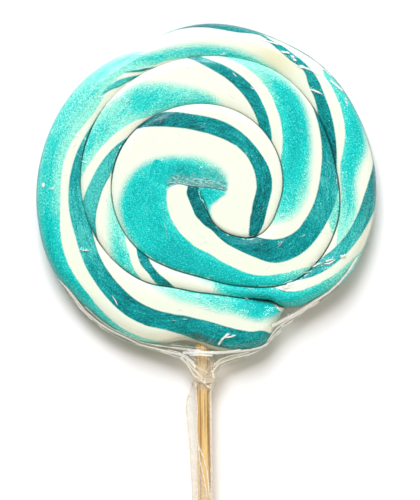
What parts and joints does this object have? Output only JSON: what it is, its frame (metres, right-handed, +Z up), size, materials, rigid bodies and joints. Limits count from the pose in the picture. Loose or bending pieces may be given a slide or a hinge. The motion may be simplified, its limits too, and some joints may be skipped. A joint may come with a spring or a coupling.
{
  "type": "swirl lollipop",
  "caption": "Flat round lollipop of coiled, striped boiled sugar on a wooden stick, in a clear film gathered and twisted round the stick.",
  "frame": {"origin": "middle of the disc's flat underside", "axes": "+Z up from the underside to the shown face, +Y away from the stick, so the stick runs towards -Y"},
  "size_m": [0.082, 0.1928, 0.0096],
  "materials": {
    "candy": "glossy boiled sugar, striped cyan, dark teal and cream white",
    "stick": "plain golden wood",
    "film": "thin clear crinkled film"
  },
  "bodies": {
    "root": {"candy_coil": "candy", "stick": "stick", "film_wrap": "film"}
  },
  "joints": []
}
